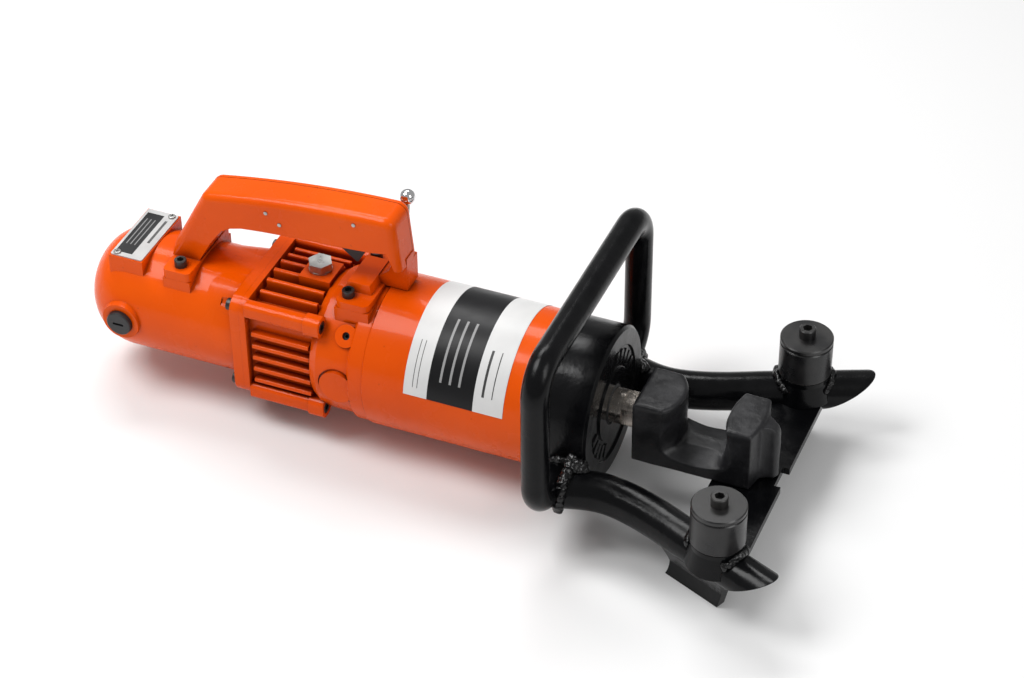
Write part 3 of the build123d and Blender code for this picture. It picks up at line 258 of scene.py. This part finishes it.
def orange_paint():
    s = Shader("orange_enamel", specular_ior_level=0.08, coat_weight=0.14, coat_roughness=0.05)
    patches = s.noise(9.0, 3.0)
    tone = s.mix(s.remap(patches, 0.35, 0.65), (0.66, 0.068, 0.0003), (0.74, 0.086, 0.0006))
    specks = s.remap(s.noise(160.0, 5.0, 0.7), 0.66, 0.78)
    tone = s.mix(specks, tone, (0.42, 0.040, 0.002))
    # Painted shade: the orange is mixed towards a deep red-brown in corners and crevices, where
    # shade falls.
    crevice_shade = s.remap(s.crevice(CREVICE_SHADE_REACH), 0.25, 0.85)
    s.feed("Base Color", s.mix(crevice_shade, (0.14, 0.009, 0.001), tone))
    s.roughness_from(s.noise(45.0, 4.0), 0.18, 0.32)
    peel = s.noise(420.0, 2.0)
    wave = s.noise(60.0, 2.0)
    height = s.maths("MULTIPLY_ADD", wave, 2.0, peel)
    s.feed("Normal", s.bump(height, 0.00005, s.rounded(PAINT_EDGE_RADIUS)))
    return s.material


def black_gloss_paint():
    s = Shader("black_enamel", specular_ior_level=0.16)
    dust = s.remap(s.noise(30.0, 5.0, 0.65), 0.45, 0.8)
    s.feed("Base Color", s.mix(dust, (0.0016, 0.0017, 0.0021), (0.0055, 0.0055, 0.0062)))
    s.roughness_from(s.noise(70.0, 4.0), 0.15, 0.28)
    peel = s.noise(300.0, 2.0)
    wave = s.noise(45.0, 2.0)
    height = s.maths("MULTIPLY_ADD", wave, 3.0, peel)
    s.feed("Normal", s.bump(height, 0.00010, s.rounded(PAINT_EDGE_RADIUS)))
    return s.material


def weld_paint():
    """The frame's black enamel where it pooled over the weld lumps."""
    s = Shader("weld_enamel", specular_ior_level=0.35)
    soot = s.remap(s.noise(150.0, 4.0, 0.6), 0.4, 0.75)
    s.feed("Base Color", s.mix(soot, (0.0018, 0.0018, 0.0021), (0.0060, 0.0058, 0.0058)))
    s.roughness_from(s.noise(400.0, 3.0), 0.07, 0.20)
    ripples = s.noise(700.0, 2.0)
    spatter = s.noise(1700.0, 2.0)
    height = s.maths("MULTIPLY_ADD", ripples, 2.5, spatter)
    s.feed("Normal", s.bump(height, 0.00009))
    return s.material


def black_forging():
    """Scaly black forged steel, rubbed paler in spots, and paler along its edges as rubbed wear
    together with a painted highlight.
    """
    s = Shader("black_forging", specular_ior_level=0.28)
    scale_marks = s.noise(55.0, 5.0, 0.6)
    tone = s.mix(s.remap(scale_marks, 0.4, 0.7), (0.0070, 0.0070, 0.0080), (0.021, 0.021, 0.023))
    rubbed = s.remap(s.noise(240.0, 4.0, 0.7), 0.62, 0.74)
    tone = s.mix(rubbed, tone, (0.030, 0.030, 0.032))
    # Painted highlight and rubbed wear together: the base colour is paler along the sharper
    # edges, where the edges catch the light.
    s.feed("Base Color", s.mix(s.worn_and_lit_edge(0.53, 0.62), tone, (0.075, 0.075, 0.080)))
    s.roughness_from(scale_marks, 0.30, 0.46)
    dents = s.noise(70.0, 2.0)
    grain = s.noise(900.0, 3.0)
    height = s.maths("MULTIPLY_ADD", dents, 6.0, grain)
    s.feed("Normal", s.bump(height, 0.00012))
    return s.material


def roller_steel():
    """Blackened turned steel with fine rings, worn bright at the rim of the foot."""
    s = Shader("roller_black_oxide", specular_ior_level=0.36)
    _, _, z = s.axes()
    rings = s.noise(1.0, 2.0, 0.5, s.scaled((4.0, 4.0, 1800.0)))
    patches = s.noise(60.0, 4.0)
    rim = s.remap(z, *(ROLLER_FOOT + height for height in BARE_RIM_FADE))
    dark = s.mix(s.remap(patches, 0.35, 0.7), (0.0065, 0.0065, 0.0072), (0.018, 0.017, 0.017))
    s.feed("Base Color", s.mix(rim, dark, (0.12, 0.11, 0.10)))
    s.roughness_from(patches, 0.24, 0.38)
    s.feed("Normal", s.bump(rings, 0.00004))
    return s.material


def metal(name, low, high, rough, grain=(1.0, 1.0, 1.0), depth=0.00003):
    """Bare or plated metal, patchy between two tones; grain stretches its fine lines."""
    s = Shader(name, metallic=1.0)
    patches = s.noise(50.0, 4.0)
    s.feed("Base Color", s.mix(s.remap(patches, 0.35, 0.68), low, high))
    s.roughness_from(s.noise(120.0, 3.0), *rough)
    lines = s.noise(500.0, 2.0, 0.5, s.scaled(grain))
    s.feed("Normal", s.bump(lines, depth))
    return s.material


def dull(name, low, high, rough, grain_scale=1500.0, depth=0.00005):
    """Matt rubber, plastic, carbon or oxide, patchy between two tones."""
    s = Shader(name)
    patches = s.noise(60.0, 4.0)
    s.feed("Base Color", s.mix(s.remap(patches, 0.35, 0.68), low, high))
    s.roughness_from(patches, *rough)
    s.feed("Normal", s.bump(s.noise(grain_scale, 3.0), depth))
    return s.material


def label_film():
    """Pale, black and pale bands round the cylinder, with plain rules where print would be."""
    s = Shader("label_film", specular_ior_level=0.20)
    x, y, z = s.axes()
    along = s.maths("DIVIDE", s.maths("SUBTRACT", x, LABEL_LOW.x), LABEL_HIGH.x - LABEL_LOW.x)
    up = s.maths("SUBTRACT", z, AXIS_HEIGHT)
    turn = s.maths("ARCTAN2", up, s.maths("MULTIPLY", y, -1.0))

    def rules(bands, round_from_to):
        total = 0.0
        for start, end in bands:
            total = s.maths("MAXIMUM", total, s.band(along, start, end))
        return s.maths("MULTIPLY", total, s.band(turn, *round_from_to))

    black = s.band(along, *LABEL_BLACK_BAND)
    dark_rules = s.maths("MAXIMUM", rules(REAR_RULES, REAR_RULES_ROUND),
                         rules(FRONT_RULES, FRONT_RULES_ROUND))
    pale_rules = rules(PALE_RULES, PALE_RULES_ROUND)
    paper = s.mix(s.noise(80.0), (0.60, 0.60, 0.60), (0.68, 0.68, 0.67))
    ink = s.mix(s.noise(60.0), (0.0040, 0.0040, 0.0045), (0.0100, 0.0100, 0.0110))
    pale_bands = s.mix(dark_rules, paper, (0.05, 0.05, 0.05))
    black_band = s.mix(pale_rules, ink, (0.28, 0.28, 0.28))
    s.feed("Base Color", s.mix(black, pale_bands, black_band))
    s.roughness_from(s.noise(40.0), 0.28, 0.42)
    s.feed("Normal", s.bump(s.noise(200.0), 0.00002))
    return s.material


def plate_print():
    """Etched aluminium plate: a black panel, a bare strip in front of it, and plain rules."""
    s = Shader("plate_print", specular_ior_level=0.4)
    x, y, _ = s.axes()

    def block(from_x, to_x, ends):
        near, far = ends
        long_way = s.band(y, PLATE_LOW.y + near, PLATE_HIGH.y - far)
        return s.maths("MULTIPLY", s.band(x, PLATE_LOW.x + from_x, PLATE_LOW.x + to_x), long_way)

    panel = block(*PANEL_X, PANEL_ENDS)
    rows = 0.0
    for offset in ROWS_X:
        rows = s.maths("MAXIMUM", rows, block(offset, offset + ROW_WIDTH, ROW_ENDS))
    strip = block(*STRIP_X, STRIP_ENDS)
    bare = s.mix(s.noise(90.0, 3.0), (0.46, 0.46, 0.46), (0.58, 0.58, 0.57))
    bare = s.mix(strip, bare, (0.10, 0.10, 0.10))
    ink = s.mix(s.noise(70.0), (0.006, 0.006, 0.007), (0.014, 0.014, 0.015))
    s.feed("Base Color", s.mix(panel, bare, s.mix(rows, ink, (0.22, 0.22, 0.22))))
    s.feed("Metallic", s.maths("MULTIPLY", s.maths("SUBTRACT", 1.0, panel), 0.35))
    s.roughness_from(s.noise(60.0), 0.30, 0.45)
    brushed = s.noise(400.0, 2.0, 0.5, s.scaled((0.1, 1.0, 1.0)))
    s.feed("Normal", s.bump(brushed, 0.00002))
    return s.material


TURNED = (4.0, 0.1, 0.1)        # grain of fine lines that run round X, as turning leaves

FINISHES = {
    "orange_paint": orange_paint(),
    "black_gloss_paint": black_gloss_paint(),
    "black_forging": black_forging(),
    "roller_steel": roller_steel(),
    "label_film": label_film(),
    "black_oxide": dull("black_oxide", (0.0050, 0.0050, 0.0055), (0.018, 0.017, 0.016),
                        rough=(0.28, 0.45), grain_scale=900.0, depth=0.00003),
    "zinc_plate": metal("zinc_plate", (0.34, 0.34, 0.33), (0.50, 0.50, 0.48),
                        rough=(0.26, 0.42)),
    "chrome_plate": metal("chrome_plate", (0.70, 0.70, 0.71), (0.80, 0.80, 0.81),
                          rough=(0.06, 0.12), depth=0.00001),
    "bare_aluminium": metal("bare_aluminium", (0.62, 0.63, 0.64), (0.74, 0.75, 0.76),
                            rough=(0.28, 0.42)),
    "machined_steel": metal("machined_steel", (0.38, 0.34, 0.30), (0.54, 0.50, 0.46),
                            rough=(0.16, 0.30), grain=TURNED),
    "lamination_steel": metal("lamination_steel", (0.25, 0.25, 0.26), (0.36, 0.36, 0.37),
                              rough=(0.35, 0.5), grain=TURNED),
    "copper": metal("copper", (0.55, 0.22, 0.10), (0.70, 0.32, 0.16), rough=(0.24, 0.4)),
    "bronze": metal("bronze", (0.48, 0.28, 0.09), (0.58, 0.36, 0.14), rough=(0.24, 0.4)),
    "rubber": dull("rubber", (0.012, 0.012, 0.012), (0.026, 0.026, 0.026), rough=(0.6, 0.8)),
    "carbon": dull("carbon", (0.020, 0.020, 0.020), (0.040, 0.040, 0.040), rough=(0.5, 0.7)),
    "black_plastic": dull("black_plastic", (0.0060, 0.0060, 0.0065), (0.014, 0.014, 0.015),
                          rough=(0.38, 0.5), grain_scale=1600.0),
}

# Nodes whose finish isn't the plain one of their slot.
NODE_FINISHES = {"nameplate": plate_print()}


def paint_cad_nodes():
    for name, node in nodes.items():
        for place in node.material_slots:
            slot = place.material.name.split(".")[0]
            place.material = NODE_FINISHES.get(name) or FINISHES[slot]


# ---------------------------------------------------------------- replaced pieces
CORNER_JOIN = 0.00002           # corners nearer than this are one corner
HEAD_VOXEL, HEAD_SMOOTHING = 0.0009, 5
BEAD_VOXEL, BEAD_SMOOTHING = 0.0006, 2

# Relief pushed out along the surface: a base height, and (depth, noise scale) waves.
HAMMERED = 0.0, [(0.00035, 55.0), (0.00012, 160.0)]
LUMPS = 0.0004, [(0.0009, 260.0), (0.0004, 700.0)]


def replacement(node_name, body):
    """New piece in place of a CAD node, from its mesh with split corners joined again."""
    mesh = nodes[node_name].data.copy()
    mesh.name = node_name + "_soft"
    work = bmesh.new()
    work.from_mesh(mesh)
    bmesh.ops.remove_doubles(work, verts=work.verts, dist=CORNER_JOIN)
    work.to_mesh(mesh)
    work.free()
    piece = bpy.data.objects.new(mesh.name, mesh)
    scene.collection.objects.link(piece)
    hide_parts(node_name)
    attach(piece, body)
    return piece


def round_off(piece, voxel, smoothing):
    """Remesh and smooth the piece, which rounds every edge as on a forging or a weld."""
    grid = piece.modifiers.new("grid", "REMESH")
    grid.mode = "VOXEL"
    grid.voxel_size = voxel
    calm = piece.modifiers.new("calm", "SMOOTH")
    calm.factor = 0.5
    calm.iterations = smoothing
    depsgraph = bpy.context.evaluated_depsgraph_get()
    mesh = bpy.data.meshes.new_from_object(piece.evaluated_get(depsgraph))
    piece.modifiers.clear()
    piece.data = mesh


def push_out(mesh, base, waves):
    for vertex, normal in [(v, v.normal.copy()) for v in mesh.vertices]:
        relief = (depth * noise.noise(vertex.co * scale) for depth, scale in waves)
        vertex.co += normal * sum(relief, base)


def dress(mesh, material):
    mesh.materials.clear()
    mesh.materials.append(material)
    for polygon in mesh.polygons:
        polygon.use_smooth = True


def forged_head():
    piece = replacement("bending_head", "ram")
    round_off(piece, HEAD_VOXEL, HEAD_SMOOTHING)
    push_out(piece.data, *HAMMERED)
    dress(piece.data, FINISHES["black_forging"])


def lumpy_welds():
    piece = replacement("weld_beads", "frame")
    round_off(piece, BEAD_VOXEL, BEAD_SMOOTHING)
    push_out(piece.data, *LUMPS)
    dress(piece.data, weld_paint())


def shortening_spring():
    """Return spring ahead of the piston, as its own copy of the CAD mesh in machined steel."""
    piece = replacement("return_spring", "frame")
    dress(piece.data, FINISHES["machined_steel"])
    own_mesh(piece)


def make_floor():
    half = FLOOR_HALF_WIDTH
    corners = [(-half, -half, 0.0), (half, -half, 0.0), (half, half, 0.0), (-half, half, 0.0)]
    mesh = bpy.data.meshes.new("floor")
    mesh.from_pydata(corners, [], [(0, 1, 2, 3)])
    floor = bpy.data.objects.new("floor", mesh)
    floor.location.z = cad_low.z - FLOOR_GAP
    scene.collection.objects.link(floor)
    s = Shader("floor_paper", roughness=0.75)
    s.feed("Base Color", s.mix(s.noise(1.5), (0.76, 0.76, 0.76), (0.79, 0.79, 0.79)))
    mesh.materials.append(s.material)


# ---------------------------------------------------------------- the scene
make_camera()
make_world()
paint_cad_nodes()
forged_head()
lumpy_welds()
shortening_spring()
make_floor()
make_area_lights()
scene.view_settings.view_transform = "Standard"
